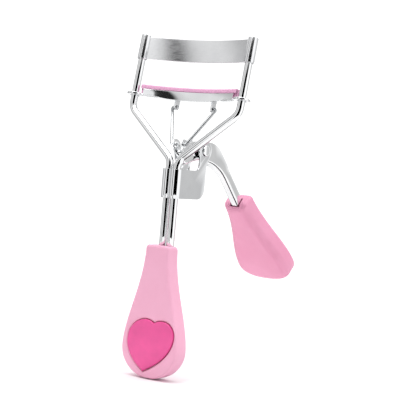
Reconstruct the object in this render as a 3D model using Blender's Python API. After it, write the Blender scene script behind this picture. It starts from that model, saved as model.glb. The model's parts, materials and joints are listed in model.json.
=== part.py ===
"""Eyelash curler: a wire cage with two curved jaws, closed by a lever with a moulded grip.

Frame: Z runs up the main handle and the shaft, X runs across the jaws, and -Y is the front.
The origin is the middle of the small flat at the lower end of the main handle.
Everything is drawn open, which is how the curler rests.
"""
import math

import bmesh
import bpy
from mathutils import Matrix, Vector

MM = 0.001

# Gaps between neighbours
SEAT_GAP = 0.25 * MM
RUNNING_GAP = 0.2 * MM
SLEEVE_GAP = 0.1 * MM
PIN_GAP = 0.15 * MM

# Frame wires
WIRE_DIAMETER = 2.4 * MM
WIRE_GAP = 0.5 * MM
WIRE_FOOT_Z = 13.2 * MM
SHAFT_Y = 1.4 * MM
SHAFT_TOP_Z = 63.8 * MM
CAGE_LEAN = math.radians(10.4)
CAGE_STEM = 2.65 * MM
ELBOW_HEIGHT = 18.1 * MM
RAIL_X = 20.0 * MM
RAIL_TOP = 41.8 * MM
LEAN_BEND_RADIUS = 3.0 * MM
STEM_BEND_RADIUS = 4.5 * MM
ELBOW_RADIUS = 4.5 * MM
BEND_STEPS = 6
WIRE_ROUNDNESS = 3

# Upper jaw
JAW_SAG = 3.0 * MM
JAW_STATIONS = 18
UPPER_JAW_HEIGHT = 7.22 * MM
UPPER_JAW_SHEET = 0.7 * MM
SLEEVE_WALL = 0.3 * MM
SLEEVE_TOP_SETBACK = 0.1 * MM
SLEEVE_OVERHANG = 0.3 * MM

# Lower jaw, its trough, its apron and the pad in it
LOWER_JAW_LEVEL = 22.5 * MM
LOWER_JAW_SHEET = 0.6 * MM
WALL_END_SETBACK = 3.2 * MM
TROUGH_HALF_DEPTH = 1.3 * MM
TROUGH_HEIGHT = 1.9 * MM
APRON_DROP = 0.85 * MM
APRON_END_SETBACK = 7.0 * MM
FLANGE_BACK = 3.4 * MM
RING_WIDTH = 1.25 * MM
RING_HEIGHT = 0.7 * MM
PAD_END_SETBACK = 2.2 * MM
PAD_BEAD_HALF_DEPTH = 1.25 * MM
PAD_BEAD_HEIGHT = 1.3 * MM
PAD_LIFT = 0.1 * MM
PAD_ROOT_GAP = 0.15 * MM
PAD_ROOT_SETBACK = 0.4 * MM

# Lugs under the lower jaw, and the two links
LUG_X = 6.85 * MM
LUG_BEHIND_CAGE = 4.9 * MM
LUG_DROP = 2.2 * MM
LUG_RADIUS = 1.05 * MM
LINK_DIAMETER = 1.0 * MM
LINK_LUG_GAP = 0.65 * MM
LINK_EAR_GAP = 0.3 * MM
LINK_HOOK_REACH = 0.5 * MM
LINK_BEND_RADIUS = 0.6 * MM
LINK_FOOT_FORWARD = 0.43 * MM
LINK_FOOT_DROP = -0.06 * MM
LINK_BEND_STEPS = 3
LINK_ROUNDNESS = 2

# Bracket on the shaft
BRACKET_SHEET = 0.55 * MM
BRACKET_HEIGHT = 8.9 * MM
BRACKET_TOP_SETBACK = 0.1 * MM
COLLAR_GROOVE = 0.6 * MM
CHEEK_DEPTH = 12.9 * MM
CHEEK_CORNER_RADIUS = 3.6 * MM
CHEEK_EAR_RADIUS = 3.2 * MM
NECK_FRONT = 9.2 * MM
NECK_CORNER_RADIUS = 1.8 * MM
OUTLINE_STEPS = 6

# Lever pivot
PIVOT_BEHIND_SHAFT = 11.9 * MM
PIVOT_Z = 70.0 * MM
RIVET_RADIUS = 1.2 * MM
RIVET_HEAD_RADIUS = 1.75 * MM
RIVET_HEAD_HEIGHT = 0.7 * MM
ROUND_SIDES = 24

# Lever
LEVER_SLOPE = math.radians(44.5)
LEVER_SHEET = 0.6 * MM
LEVER_CORNER_RADIUS = 1.0 * MM
LEVER_CORNER_STEPS = 3
WEB_OFFSET = 4.9 * MM
WEB_CURVE_START = 19.0 * MM
WEB_CURVE_RATE = 24.5
ARM_DEPTH = 3.0 * MM
ARM_HALF_WIDTH = 1.65 * MM
ARM_FIRST_STATION = 13.0 * MM
ARM_STATION_STEP = 3.0 * MM
TANG_LENGTH = 15.0 * MM
HOOK_FORWARD = 9.6 * MM
HOOK_RISE = 1.2 * MM
HOOK_HOLE_RADIUS = 0.95 * MM
EAR_HALF_WIDTH = 1.85 * MM
SEAT_HALF_WIDTH = 2.45 * MM

# Main handle and its heart
HANDLE_LENGTH = 40.3 * MM
HANDLE_THICKNESS = 6.7 * MM
HANDLE_HALF_WIDTH = 10.4 * MM
HANDLE_TOP_HALF_WIDTH = 4.3 * MM
HANDLE_BULB = 8.8 * MM
FOOT_FLAT_DEPTH = 0.25 * MM
OUTER_EDGE_RADIUS = 0.8 * MM
INNER_EDGE_RADIUS = 2.6 * MM
PADDLE_CORNER_RADIUS = 1.0 * MM
PADDLE_TAPER_POWER = 0.88
HANDLE_END_POWER = 1.0
HEART_HALF_WIDTH = 8.3 * MM
HEART_TOP_Z = 17.7 * MM
HEART_TIP_Z = 2.0 * MM
HEART_LOBE_RADIUS = 5.3 * MM
HEART_SLANT = 0.18
HEART_CENTRE_Z = 9.8 * MM
HEART_RISE = 0.6 * MM
HEART_RECESS = 0.8 * MM
HEART_EDGE_RADIUS = 0.4 * MM

# Lever grip
GRIP_START = 28.6 * MM
GRIP_LENGTH = 35.8 * MM
GRIP_THICKNESS = 6.4 * MM
GRIP_HALF_WIDTH = 10.0 * MM
GRIP_TOP_HALF_WIDTH = 4.4 * MM
GRIP_BULB = 6.6 * MM
GRIP_END_POWER = 0.8
GRIP_FRONT_WALL = 0.9 * MM

# Worked out from the sizes above
WIRE_RADIUS = WIRE_DIAMETER / 2
WIRE_SPACING = WIRE_DIAMETER + WIRE_GAP
LINK_RADIUS = LINK_DIAMETER / 2
LUG_SHEET = LOWER_JAW_SHEET
X_AXIS = Vector((1, 0, 0))
PIVOT = Vector((0, SHAFT_Y + PIVOT_BEHIND_SHAFT, PIVOT_Z))
CAGE_ORIGIN = Vector((0, SHAFT_Y, SHAFT_TOP_Z))
CAGE_UP = Vector((0, math.sin(CAGE_LEAN), math.cos(CAGE_LEAN)))
CAGE_BACK = Vector((0, math.cos(CAGE_LEAN), -math.sin(CAGE_LEAN)))
ARM_DOWN = Vector((0, math.cos(LEVER_SLOPE), -math.sin(LEVER_SLOPE)))
ARM_BACK = Vector((0, math.sin(LEVER_SLOPE), math.cos(LEVER_SLOPE)))
HOOK_CENTRE = PIVOT + Vector((0, -HOOK_FORWARD, HOOK_RISE))
LINK_FOOT = HOOK_CENTRE + Vector((0, -LINK_FOOT_FORWARD, -LINK_FOOT_DROP))
BRACKET_HALF_WIDTH = WIRE_SPACING / 2 + WIRE_RADIUS + RUNNING_GAP + BRACKET_SHEET
UPPER_JAW_TOP = RAIL_TOP - SLEEVE_TOP_SETBACK - SLEEVE_OVERHANG
LUG_LEVEL = LOWER_JAW_LEVEL - LUG_DROP
TROUGH_TOP = LOWER_JAW_LEVEL + TROUGH_HEIGHT
LOWER_JAW_HALF = RAIL_X - WALL_END_SETBACK
APRON_HALF = RAIL_X - APRON_END_SETBACK
PAD_HALF = RAIL_X - PAD_END_SETBACK
RING_BORE = WIRE_RADIUS + RUNNING_GAP


# Placing

def cage_point(across, back, up):
    """A point in the leaning plane of the cage: across X, behind it, and up it from the shaft's top."""
    return CAGE_ORIGIN + X_AXIS * across + CAGE_BACK * back + CAGE_UP * up


def lever_point(across, down, back):
    """A point of the lever: across X, down its arm from the pivot, and behind the pivot."""
    return PIVOT + X_AXIS * across + ARM_DOWN * down + ARM_BACK * back


def jaw_curve(across):
    """How far the jaws bow behind the cage plane at a distance across."""
    radius = (RAIL_X ** 2 + JAW_SAG ** 2) / (2 * JAW_SAG)
    return math.sqrt(radius ** 2 - across ** 2) - (radius - JAW_SAG)


def spread(low, high, steps):
    """Evenly spaced values from low to high, both ends included."""
    return [low + (high - low) * step / steps for step in range(steps + 1)]


def arc(centre, radius, start, end, steps):
    """Points of a flat arc, angles in degrees."""
    return [
        (centre[0] + radius * math.cos(math.radians(angle)), centre[1] + radius * math.sin(math.radians(angle)))
        for angle in spread(start, end, steps)
    ]


def rounded_route(corners, radii, steps):
    """A path through the corners with each inner corner rounded to its radius."""
    route = [corners[0]]
    for before, corner, after, radius in zip(corners, corners[1:], corners[2:], radii):
        towards = (before - corner).normalized()
        onwards = (after - corner).normalized()
        half_angle = towards.angle(onwards) / 2
        centre = corner + (towards + onwards).normalized() * radius / math.sin(half_angle)
        start = (corner + towards * radius / math.tan(half_angle) - centre).normalized()
        end = (corner + onwards * radius / math.tan(half_angle) - centre).normalized()
        route += [centre + start.slerp(end, step) * radius for step in spread(0, 1, steps)]
    return route + [corners[-1]]


# Making

def make_material(name, colour, roughness, metallic):
    material = bpy.data.materials.new(name)
    material.use_nodes = True
    shader = material.node_tree.nodes["Principled BSDF"]
    shader.inputs["Base Color"].default_value = (*colour, 1.0)
    shader.inputs["Roughness"].default_value = roughness
    shader.inputs["Metallic"].default_value = metallic
    material.diffuse_color = (*colour, 1.0)
    return material


def add_object(name, shape, material=None, origin=Vector(), parent=None):
    """A named object from a bmesh in world coordinates, with its own origin."""
    bmesh.ops.recalc_face_normals(shape, faces=shape.faces)
    shape.transform(Matrix.Translation(-origin))
    mesh = bpy.data.meshes.new(name)
    shape.to_mesh(mesh)
    shape.free()
    mesh.shade_smooth()
    mesh.set_sharp_from_angle(angle=math.radians(35))
    if material:
        mesh.materials.append(material)
    item = bpy.data.objects.new(name, mesh)
    bpy.context.scene.collection.objects.link(item)
    place_under(item, origin, parent)
    return item


def place_under(item, origin, parent):
    item.location = origin
    if parent:
        item.parent = parent
        item.location = origin - parent.location


def add_empty(name, location):
    empty = bpy.data.objects.new(name, None)
    empty.location = location
    bpy.context.scene.collection.objects.link(empty)
    return empty


def add_wire(name, route, radius, roundness, material, origin=Vector(), parent=None):
    """A round wire along a route, with flat ends."""
    curve = bpy.data.curves.new(name, "CURVE")
    curve.dimensions = "3D"
    curve.bevel_depth = radius
    curve.bevel_resolution = roundness
    curve.render_resolution_u = 0
    curve.use_fill_caps = True
    spline = curve.splines.new("POLY")
    spline.points.add(len(route) - 1)
    for point, place in zip(spline.points, route):
        point.co = (*(place - origin), 1)
    curve.materials.append(material)
    item = bpy.data.objects.new(name, curve)
    bpy.context.scene.collection.objects.link(item)
    place_under(item, origin, parent)
    return item


def add_modifier(item, tool, operation):
    """A Boolean on an item, with its tool kept as a hidden wire guide."""
    modifier = item.modifiers.new(tool.name, "BOOLEAN")
    modifier.operation = operation
    modifier.solver = "EXACT"
    modifier.object = tool
    tool.hide_render = True
    tool.display_type = "WIRE"


def loft(rings):
    """A closed solid through rings of points, each ring with the same count."""
    shape = bmesh.new()
    loops = [[shape.verts.new(point) for point in ring] for ring in rings]
    for ring, following in zip(loops, loops[1:]):
        for index in range(len(ring)):
            after = (index + 1) % len(ring)
            shape.faces.new((ring[index], ring[after], following[after], following[index]))
    shape.faces.new(list(reversed(loops[0])))
    shape.faces.new(loops[-1])
    return shape


def prism(outline, to_point, low, high):
    """A flat outline extruded between two levels; to_point turns (first, second, level) into a place."""
    return loft([[to_point(first, second, level) for first, second in outline] for level in (low, high)])


def round_bar(centre, axis, stations):
    """A turned bar along an axis, from stations of (distance, radius)."""
    side = axis.orthogonal().normalized()
    other = axis.cross(side)
    turns = [2 * math.pi * step / ROUND_SIDES for step in range(ROUND_SIDES)]
    return loft([
        [centre + axis * distance + (side * math.cos(turn) + other * math.sin(turn)) * radius for turn in turns]
        for distance, radius in stations
    ])


def channel_loft(outer_rings, inner_rings):
    """A bent sheet between an outer and an inner skin, closed along its rims and its ends."""
    shape = bmesh.new()
    outer = [[shape.verts.new(point) for point in ring] for ring in outer_rings]
    inner = [[shape.verts.new(point) for point in ring] for ring in inner_rings]
    last = len(outer[0]) - 1
    for near, far, near_in, far_in in zip(outer, outer[1:], inner, inner[1:]):
        for index in range(last):
            shape.faces.new((near[index], near[index + 1], far[index + 1], far[index]))
            shape.faces.new((near_in[index], far_in[index], far_in[index + 1], near_in[index + 1]))
        shape.faces.new((near[0], far[0], far_in[0], near_in[0]))
        shape.faces.new((near[last], near_in[last], far_in[last], far[last]))
    for skin, lining, flip in ((outer[0], inner[0], False), (outer[-1], inner[-1], True)):
        for index in range(last):
            corners = [skin[index], lining[index], lining[index + 1], skin[index + 1]]
            shape.faces.new(reversed(corners) if flip else corners)
    return shape


# Frame

def add_frame_wires(material):
    for name, side in (("left_frame_wire", -1), ("right_frame_wire", 1)):
        across = side * WIRE_SPACING / 2
        corners = [
            Vector((across, SHAFT_Y, WIRE_FOOT_Z)),
            Vector((across, SHAFT_Y, SHAFT_TOP_Z)),
            cage_point(across, 0, CAGE_STEM),
            cage_point(side * RAIL_X, 0, ELBOW_HEIGHT),
            cage_point(side * RAIL_X, 0, RAIL_TOP),
        ]
        radii = (LEAN_BEND_RADIUS, STEM_BEND_RADIUS, ELBOW_RADIUS)
        add_wire(name, rounded_route(corners, radii, BEND_STEPS), WIRE_RADIUS, WIRE_ROUNDNESS, material)


def add_upper_jaw(material):
    bottom = UPPER_JAW_TOP - UPPER_JAW_HEIGHT
    half_sheet = UPPER_JAW_SHEET / 2
    plate = loft([
        [
            cage_point(across, jaw_curve(across) - half_sheet, bottom),
            cage_point(across, jaw_curve(across) + half_sheet, bottom),
            cage_point(across, jaw_curve(across) + half_sheet, UPPER_JAW_TOP),
            cage_point(across, jaw_curve(across) - half_sheet, UPPER_JAW_TOP),
        ]
        for across in spread(-RAIL_X, RAIL_X, JAW_STATIONS)
    ])
    jaw = add_object("upper_jaw", plate, material)
    bore = WIRE_RADIUS + SLEEVE_GAP
    sleeve_ends = (bottom - SLEEVE_OVERHANG, UPPER_JAW_TOP + SLEEVE_OVERHANG)
    for kind, radius, spare, operation in (
        ("form", bore + SLEEVE_WALL, 0.0, "UNION"),
        ("bore", bore, MM, "DIFFERENCE"),
    ):
        for name, side in (("left", -1), ("right", 1)):
            foot = cage_point(side * RAIL_X, 0, 0)
            bar = round_bar(foot, CAGE_UP, ((sleeve_ends[0] - spare, radius), (sleeve_ends[1] + spare, radius)))
            add_modifier(jaw, add_object("%s_sleeve_%s" % (name, kind), bar), operation)


def cheek_outline():
    """The bracket's side view: the collar below, the neck, and the round ear about the pivot."""
    bottom = SHAFT_TOP_Z - BRACKET_TOP_SETBACK - BRACKET_HEIGHT
    top = SHAFT_TOP_Z - BRACKET_TOP_SETBACK
    front = SHAFT_Y - BRACKET_HALF_WIDTH
    back = SHAFT_Y + CHEEK_DEPTH
    neck = SHAFT_Y + NECK_FRONT
    corner = (back - CHEEK_CORNER_RADIUS, bottom + CHEEK_CORNER_RADIUS)
    inner_corner = (neck - NECK_CORNER_RADIUS, top + NECK_CORNER_RADIUS)
    ear = (PIVOT.y, PIVOT.z)
    return (
        [(front, bottom)]
        + arc(corner, CHEEK_CORNER_RADIUS, -90, 0, OUTLINE_STEPS)
        + [(back, top + MM)]
        + arc(ear, CHEEK_EAR_RADIUS, -50, 215, 2 * OUTLINE_STEPS)
        + arc(inner_corner, NECK_CORNER_RADIUS, 0, -90, OUTLINE_STEPS)
        + [(front, top)]
    )


def add_bracket(material):
    back = PIVOT.y + CHEEK_EAR_RADIUS + MM
    outline = []
    for inset, turn in ((0, 1), (BRACKET_SHEET, -1)):
        half_width = BRACKET_HALF_WIDTH - inset
        radius = WIRE_RADIUS + RUNNING_GAP + BRACKET_SHEET - inset
        crown = half_width - radius
        side = [(half_width, back)] + arc((crown, SHAFT_Y), radius, 0, -90, OUTLINE_STEPS)
        groove = []
        for across in spread(crown, -crown, 2 * OUTLINE_STEPS)[1:-1]:
            dip = COLLAR_GROOVE * (1 + math.cos(math.pi * across / crown)) / 2
            groove.append((across, SHAFT_Y - radius + dip))
        path = side + groove + [(-across, depth) for across, depth in reversed(side)]
        outline += path[::turn]
    low = SHAFT_TOP_Z - BRACKET_HEIGHT - MM
    high = PIVOT.z + CHEEK_EAR_RADIUS + MM
    sheet = prism(outline, lambda across, depth, level: Vector((across, depth, level)), low, high)
    bracket = add_object("bracket", sheet, material)
    reach = BRACKET_HALF_WIDTH + MM
    side_view = prism(cheek_outline(), lambda depth, level, across: Vector((across, depth, level)), -reach, reach)
    add_modifier(bracket, add_object("bracket_side_view", side_view), "INTERSECT")
    hole_radius = RIVET_RADIUS + PIN_GAP
    hole = round_bar(PIVOT, X_AXIS, ((-reach, hole_radius), (reach, hole_radius)))
    add_modifier(bracket, add_object("bracket_pivot_hole", hole), "DIFFERENCE")


def add_rivet(material):
    seat = BRACKET_HALF_WIDTH + PIN_GAP
    crown = seat + RIVET_HEAD_HEIGHT
    side = [
        (seat, RIVET_RADIUS),
        (seat, RIVET_HEAD_RADIUS),
        (seat + RIVET_HEAD_HEIGHT * 0.45, RIVET_HEAD_RADIUS),
        (seat + RIVET_HEAD_HEIGHT * 0.85, RIVET_HEAD_RADIUS * 0.8),
        (crown, RIVET_HEAD_RADIUS * 0.45),
    ]
    stations = [(-distance, radius) for distance, radius in reversed(side)] + side
    add_object("pivot_rivet", round_bar(PIVOT, X_AXIS, stations), material, PIVOT)


# Handles

def paddle_outline(inset, length, half_width, top_half_width, bulb, flat_depth, end_power):
    """The outline of a paddle-shaped handle, drawn in by an inset: a round lower end and a slim top."""
    widest = half_width - inset
    slimmest = top_half_width - inset
    top = length - inset
    right = [
        (x, max(z, 0.0))
        for x, z in (
            (
                widest * max(math.cos(turn), 0.0) ** end_power,
                bulb - (bulb + flat_depth - inset) * math.sin(-turn) ** end_power,
            )
            for turn in spread(-math.pi / 2, 0.0, 12)
        )
    ][1:]
    corner_start = top - PADDLE_CORNER_RADIUS
    for level in spread(bulb, corner_start, 11)[1:]:
        share = ((level - bulb) / (top - bulb)) ** PADDLE_TAPER_POWER
        right.append((slimmest + (half_width - top_half_width) * (1 + math.cos(math.pi * share)) / 2, level))
    edge = right[-1][0] - PADDLE_CORNER_RADIUS
    right += arc((edge, corner_start), PADDLE_CORNER_RADIUS, 0, 90, 4)[1:]
    return right + [(-x, z) for x, z in reversed(right)]


def paddle(length, half_width, top_half_width, bulb, flat_depth, end_power, thickness, to_point):
    """A paddle-shaped handle with a crisp outer edge at -Y and a soft inner edge at +Y."""
    layers = []
    for turn in spread(90, 0, 3):
        lift = math.radians(turn)
        layers.append((
            OUTER_EDGE_RADIUS * (1 - math.cos(lift)) if turn else 0.0,
            -thickness / 2 + OUTER_EDGE_RADIUS * (1 - math.sin(lift)),
        ))
    for turn in spread(0, 90, 5):
        lift = math.radians(turn)
        layers.append((
            INNER_EDGE_RADIUS * (1 - math.cos(lift)),
            thickness / 2 - INNER_EDGE_RADIUS * (1 - math.sin(lift)),
        ))
    return loft([
        [
            to_point(x, depth, z)
            for x, z in paddle_outline(
                inset, length, half_width, top_half_width, bulb, flat_depth, end_power
            )
        ]
        for inset, depth in layers
    ])


def heart_outline(growth):
    """The heart in X and Z, grown outwards by an amount."""
    lobe = HEART_LOBE_RADIUS + growth
    lobe_x = HEART_HALF_WIDTH - HEART_LOBE_RADIUS
    lobe_z = HEART_TOP_Z - HEART_LOBE_RADIUS
    tip_z = HEART_TIP_Z - growth * math.sqrt(2)
    cleft_angle = math.degrees(math.acos(-lobe_x / lobe))
    lobe_points = arc((lobe_x, lobe_z), lobe, cleft_angle, 0, 14)
    start = Vector((lobe_x + lobe, lobe_z))
    end = Vector((0, tip_z))
    first_pull = Vector((start.x, lobe_z - HEART_LOBE_RADIUS))
    last_pull = Vector((HEART_HALF_WIDTH * 0.4 + growth, tip_z + HEART_HALF_WIDTH * 0.22))
    side_points = []
    for share in spread(0, 1, 10)[1:]:
        rest = 1 - share
        place = (
            start * rest ** 3 + first_pull * 3 * rest ** 2 * share
            + last_pull * 3 * rest * share ** 2 + end * share ** 3
        )
        side_points.append((place.x, place.y))
    right = lobe_points + side_points
    upright = right + [(-x, z) for x, z in reversed(right[1:-1])]
    return [(x + HEART_SLANT * (z - HEART_CENTRE_Z), z) for x, z in upright]


def add_main_handle(material, heart_material):
    body = paddle(
        HANDLE_LENGTH, HANDLE_HALF_WIDTH, HANDLE_TOP_HALF_WIDTH, HANDLE_BULB, FOOT_FLAT_DEPTH,
        HANDLE_END_POWER, HANDLE_THICKNESS, lambda x, y, z: Vector((x, y, z)),
    )
    handle = add_object("handle_grip", body, material)
    socket_radius = WIRE_RADIUS + SEAT_GAP
    half_spacing = WIRE_SPACING / 2
    socket = (
        arc((half_spacing, SHAFT_Y), socket_radius, -90, 90, OUTLINE_STEPS)
        + arc((-half_spacing, SHAFT_Y), socket_radius, 90, 270, OUTLINE_STEPS)
    )
    low = WIRE_FOOT_Z - SEAT_GAP
    pocket = prism(socket, lambda x, y, z: Vector((x, y, z)), low, HANDLE_LENGTH + MM)
    add_modifier(handle, add_object("handle_wire_socket", pocket), "DIFFERENCE")
    face = -HANDLE_THICKNESS / 2
    recess = prism(heart_outline(SEAT_GAP), lambda x, z, y: Vector((x, y, z)), face - MM, face + HEART_RECESS)
    add_modifier(handle, add_object("handle_heart_recess", recess), "DIFFERENCE")
    floor = face + HEART_RECESS - SEAT_GAP
    crown = face - HEART_RISE
    layers = ((0.0, floor), (0.0, crown + HEART_EDGE_RADIUS), (-HEART_EDGE_RADIUS, crown))
    heart = loft([[Vector((x, y, z)) for x, z in heart_outline(growth)] for growth, y in layers])
    add_object("heart_inlay", heart, heart_material)


def grip_point(x, y, z):
    """The lever grip's own frame: z up the arm from its tip, and -y towards the back."""
    middle = WEB_OFFSET - SEAT_GAP - GRIP_FRONT_WALL + GRIP_THICKNESS / 2
    return lever_point(-x, GRIP_START + GRIP_LENGTH - z, middle - y)


def add_lever_grip(material, parent):
    body = paddle(
        GRIP_LENGTH, GRIP_HALF_WIDTH, GRIP_TOP_HALF_WIDTH, GRIP_BULB, 0.0,
        GRIP_END_POWER, GRIP_THICKNESS, grip_point,
    )
    grip = add_object("lever_grip", body, material, PIVOT, parent)
    reach = ARM_HALF_WIDTH + SEAT_GAP
    low = WEB_OFFSET - SEAT_GAP
    high = WEB_OFFSET + ARM_DEPTH + SEAT_GAP
    section = [(reach, low), (reach, high), (-reach, high), (-reach, low)]
    pocket = prism(
        section, lambda across, back, down: lever_point(across, down, back),
        GRIP_START - MM, GRIP_START + TANG_LENGTH + SEAT_GAP,
    )
    add_modifier(grip, add_object("grip_arm_pocket", pocket), "DIFFERENCE")


# Lever

def lever_stations():
    """Stations along the lever: a point on its web, a point on its open edge, and its half width."""
    front = (
        ((-0.7, -2.6), (-1.8, 0.6), EAR_HALF_WIDTH),
        ((-0.3, -3.7), (-1.1, 1.5), EAR_HALF_WIDTH),
        ((0.0, -4.9), (0.0, 1.8), EAR_HALF_WIDTH),
        ((0.9, -5.7), (1.2, 1.5), EAR_HALF_WIDTH),
        ((2.5, -5.9), (2.6, 0.7), EAR_HALF_WIDTH),
    )
    middle = (
        ((-4.4, -3.9), (-4.7, 1.4), EAR_HALF_WIDTH),
        ((-1.4, -3.2), (-1.9, 2.2), (EAR_HALF_WIDTH + SEAT_HALF_WIDTH) / 2),
        ((2.5, -3.4), (1.6, 2.8), SEAT_HALF_WIDTH),
        ((6.1, -4.0), (5.6, 2.6), SEAT_HALF_WIDTH),
        ((9.3, -5.0), (9.4, 1.2), (2 * SEAT_HALF_WIDTH + ARM_HALF_WIDTH) / 3),
    )
    stations = []
    for group, centre in ((front, HOOK_CENTRE), (middle, PIVOT)):
        for web, edge, half_width in group:
            web_point = centre + Vector((0, *web)) * MM
            edge_point = centre + Vector((0, *edge)) * MM
            stations.append((web_point, edge_point, half_width))
    down = ARM_FIRST_STATION
    while down < WEB_CURVE_START:
        bow = WEB_CURVE_RATE * (WEB_CURVE_START - down) ** 2
        share = (WEB_CURVE_START - down) / (WEB_CURVE_START - ARM_FIRST_STATION + ARM_STATION_STEP)
        half_width = ARM_HALF_WIDTH + (SEAT_HALF_WIDTH - ARM_HALF_WIDTH) * share ** 2
        stations.append((
            lever_point(0, down, WEB_OFFSET - bow), lever_point(0, down, WEB_OFFSET + ARM_DEPTH), half_width
        ))
        down += ARM_STATION_STEP
    for down in (WEB_CURVE_START, GRIP_START + TANG_LENGTH):
        stations.append((
            lever_point(0, down, WEB_OFFSET), lever_point(0, down, WEB_OFFSET + ARM_DEPTH), ARM_HALF_WIDTH
        ))
    return stations


def lever_section(web, edge, inwards, half_width, radius):
    """Half of the channel's section, from an open edge round a corner to the middle of the web."""
    corner = arc((half_width - radius, radius), radius, 0, -90, LEVER_CORNER_STEPS)
    side = [edge + X_AXIS * half_width] + [web + X_AXIS * across + inwards * depth for across, depth in corner]
    other = [Vector((-point.x, point.y, point.z)) for point in reversed(side)]
    return side + other


def add_lever(material, parent):
    stations = lever_stations()
    webs = [web for web, edge, half_width in stations]
    outer = []
    inner = []
    for index, (web, edge, half_width) in enumerate(stations):
        along = webs[min(index + 1, len(webs) - 1)] - webs[max(index - 1, 0)]
        inwards = Vector((0, -along.z, along.y)).normalized()
        outer.append(lever_section(web, edge, inwards, half_width, LEVER_CORNER_RADIUS))
        inner.append(lever_section(
            web + inwards * LEVER_SHEET, edge, inwards, half_width - LEVER_SHEET, LEVER_CORNER_RADIUS - LEVER_SHEET
        ))
    lever = add_object("lever", channel_loft(outer, inner), material, PIVOT, parent)
    for name, centre, radius in (
        ("lever_pivot_hole", PIVOT, RIVET_RADIUS + PIN_GAP),
        ("lever_hook_holes", HOOK_CENTRE, HOOK_HOLE_RADIUS),
    ):
        reach = SEAT_HALF_WIDTH + MM
        hole = round_bar(centre, X_AXIS, ((-reach, radius), (reach, radius)))
        add_modifier(lever, add_object(name, hole), "DIFFERENCE")


# Lower jaw

def lower_jaw_edge(across, share):
    """How far down the apron hangs: deepest in the middle and gone before the ends."""
    reach = min(abs(across) / APRON_HALF, 1.0)
    return LOWER_JAW_LEVEL - share * (1 - reach ** 4)


def add_lower_jaw(material, parent, origin):
    half_sheet = LOWER_JAW_SHEET / 2
    stations = spread(-LOWER_JAW_HALF, LOWER_JAW_HALF, JAW_STATIONS)
    lip = half_sheet - TROUGH_HALF_DEPTH
    back_edge = [
        (across, jaw_curve(across) + lip + (FLANGE_BACK - lip) * (1 - (across / RAIL_X) ** 4))
        for across in spread(RAIL_X, -RAIL_X, JAW_STATIONS)
    ]
    front_edge = [(across, jaw_curve(across) + lip) for across in stations]
    flange = prism(
        front_edge + back_edge, cage_point, LOWER_JAW_LEVEL - half_sheet, LOWER_JAW_LEVEL + half_sheet
    )
    jaw = add_object("lower_jaw", flange, material, origin, parent)
    forms = []
    for name, inner, outer, drop in (
        ("front", -TROUGH_HALF_DEPTH, -TROUGH_HALF_DEPTH + LOWER_JAW_SHEET, APRON_DROP),
        ("back", TROUGH_HALF_DEPTH - LOWER_JAW_SHEET, TROUGH_HALF_DEPTH, 0.0),
    ):
        wall = loft([
            [
                cage_point(across, jaw_curve(across) + inner, lower_jaw_edge(across, drop)),
                cage_point(across, jaw_curve(across) + outer, lower_jaw_edge(across, drop)),
                cage_point(across, jaw_curve(across) + outer, TROUGH_TOP),
                cage_point(across, jaw_curve(across) + inner, TROUGH_TOP),
            ]
            for across in stations
        ])
        forms.append(add_object("jaw_%s_wall_form" % name, wall))
    cuts = []
    for name, side in (("left", -1), ("right", 1)):
        foot = cage_point(side * RAIL_X, 0, LOWER_JAW_LEVEL)
        rim = RING_BORE + RING_WIDTH
        ring = round_bar(foot, CAGE_UP, ((-RING_HEIGHT / 2, rim), (RING_HEIGHT / 2, rim)))
        forms.append(add_object(name + "_ring_form", ring))
        cut = round_bar(foot, CAGE_UP, ((-MM, RING_BORE), (MM, RING_BORE)))
        cuts.append(add_object(name + "_ring_bore", cut))
        lug_outline = (
            arc((LUG_BEHIND_CAGE, LUG_LEVEL), LUG_RADIUS, 180, 360, 2 * OUTLINE_STEPS)
            + [(LUG_BEHIND_CAGE + LUG_RADIUS, LOWER_JAW_LEVEL), (LUG_BEHIND_CAGE - LUG_RADIUS, LOWER_JAW_LEVEL)]
        )
        low = side * LUG_X - LUG_SHEET / 2
        lug = prism(lug_outline, lambda back, up, across: cage_point(across, back, up), low, low + LUG_SHEET)
        forms.append(add_object(name + "_lug_form", lug))
        eye = LINK_RADIUS + PIN_GAP
        centre = cage_point(side * LUG_X, LUG_BEHIND_CAGE, LUG_LEVEL)
        cuts.append(add_object(name + "_lug_eye", round_bar(centre, X_AXIS, ((-MM, eye), (MM, eye)))))
    for form in forms:
        add_modifier(jaw, form, "UNION")
    for cut in cuts:
        add_modifier(jaw, cut, "DIFFERENCE")


def add_pad(material, parent, origin):
    """The silicone strip: a root held in the trough, and a wider bead above its walls."""
    root = TROUGH_HALF_DEPTH - LOWER_JAW_SHEET - PAD_ROOT_GAP
    floor = LOWER_JAW_LEVEL + LOWER_JAW_SHEET / 2 + PAD_ROOT_GAP
    seat = TROUGH_TOP + PAD_LIFT
    top = seat + PAD_BEAD_HEIGHT
    shoulder = PAD_BEAD_HEIGHT * 0.35
    section = (
        (-root, floor), (root, floor), (root, seat), (PAD_BEAD_HALF_DEPTH, seat),
        (PAD_BEAD_HALF_DEPTH, top - shoulder), (PAD_BEAD_HALF_DEPTH - shoulder, top),
        (shoulder - PAD_BEAD_HALF_DEPTH, top), (-PAD_BEAD_HALF_DEPTH, top - shoulder),
        (-PAD_BEAD_HALF_DEPTH, seat), (-root, seat),
    )
    strip = loft([
        [cage_point(across, jaw_curve(across) + depth, level) for depth, level in section]
        for across in spread(-PAD_HALF, PAD_HALF, JAW_STATIONS)
    ])
    add_object("silicone_pad", strip, material, origin, parent)


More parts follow.
